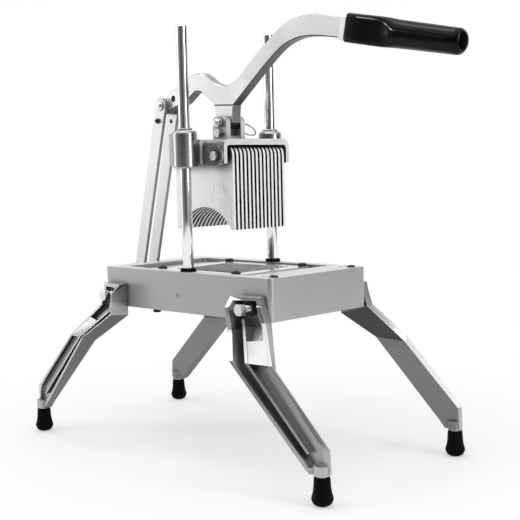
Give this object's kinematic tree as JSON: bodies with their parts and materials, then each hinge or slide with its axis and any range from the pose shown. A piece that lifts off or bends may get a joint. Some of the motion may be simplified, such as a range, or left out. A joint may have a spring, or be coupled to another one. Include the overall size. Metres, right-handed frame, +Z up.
{
  "type": "vegetable dicer",
  "caption": "Countertop vegetable dicer: a hand lever slides a slatted pusher down guide rods and presses food through parallel blades set in a deck on spread legs.",
  "frame": {"origin": "middle of the object's outline on the table top, Z = 0 under the rubber feet", "axes": "+Z up, +Y towards the rear link bars, with the handle pointing to -Y, +X to the right seen from the handle"},
  "size_m": [0.2632, 0.577, 0.4977],
  "materials": {
    "cast_aluminium": "tumbled satin casting",
    "bright_aluminium": "polished casting",
    "stainless": "polished",
    "blade_steel": "ground",
    "dark_steel": "black oxide",
    "black_rubber": "matt",
    "black_plastic": "glossy moulded",
    "bearing_bronze": "turned"
  },
  "bodies": {
    "frame": {"base_frame": "cast_aluminium", "guide_rod_left": "stainless", "rod_ring_left": "black_rubber", "rod_screw_left": "stainless", "guide_rod_right": "stainless", "rod_ring_right": "black_rubber", "rod_screw_right": "stainless", "blade_carrier": "stainless", "blade_01": "blade_steel", "blade_02": "blade_steel", "blade_03": "blade_steel", "blade_04": "blade_steel", "blade_05": "blade_steel", "blade_06": "blade_steel", "blade_07": "blade_steel", "blade_08": "blade_steel", "blade_09": "blade_steel", "blade_10": "blade_steel", "blade_11": "blade_steel", "blade_12": "blade_steel", "blade_13": "blade_steel", "blade_knob_front_left": "dark_steel", "blade_knob_rear_left": "dark_steel", "blade_knob_front_right": "dark_steel", "blade_knob_rear_right": "dark_steel", "bracket_screw_left": "stainless", "bracket_screw_right": "stainless", "link_bracket": "cast_aluminium", "leg_front_left": "cast_aluminium", "leg_bolt_front_left": "stainless", "foot_front_left": "black_rubber", "leg_rear_left": "cast_aluminium", "leg_bolt_rear_left": "stainless", "foot_rear_left": "black_rubber", "leg_front_right": "cast_aluminium", "leg_bolt_front_right": "stainless", "foot_front_right": "black_rubber", "leg_rear_right": "cast_aluminium", "leg_bolt_rear_right": "stainless", "foot_rear_right": "black_rubber"},
    "head": {"head_casting": "cast_aluminium", "bushing_left": "bearing_bronze", "bushing_right": "bearing_bronze", "pusher_block": "bright_aluminium", "pusher_bolt_left": "stainless", "pusher_bolt_right": "stainless", "cross_bolt": "stainless", "clevis_pin": "stainless"},
    "lever": {"lever": "bright_aluminium", "grip_ferrule": "stainless", "grip": "black_plastic"},
    "links": {"link_bar_left": "cast_aluminium", "link_top_pin_left": "stainless", "link_screw_left": "stainless", "link_bar_right": "cast_aluminium", "link_top_pin_right": "stainless", "link_screw_right": "stainless", "link_base_pin": "stainless"},
    "ring": {"pin_ring": "stainless"}
  },
  "joints": [
    {"name": "head_slide", "type": "slide", "parent": "frame", "child": "head", "axis": [0, 0, 1], "range_m": [-0.07, 0.035]},
    {"name": "lever_pivot", "type": "hinge", "parent": "head", "child": "lever", "pos_m": [0, 0.04069, 0.386], "axis": [1, 0, 0], "range_deg": [-16.6, 33]},
    {"name": "link_pivot", "type": "hinge", "parent": "frame", "child": "links", "pos_m": [0, 0.20469, 0.19], "axis": [1, 0, 0], "range_deg": [-3.4, 6.8]},
    {"name": "ring_swing", "type": "hinge", "parent": "head", "child": "ring", "pos_m": [0.0207, 0.04069, 0.386], "axis": [0, 1, 0], "range_deg": [-123, 14]}
  ],
  "couplings": [
    {"joint": "lever_pivot", "follows": "head_slide", "rad_per_m": -8.203},
    {"joint": "link_pivot", "follows": "head_slide", "rad_per_m": -1.658}
  ]
}
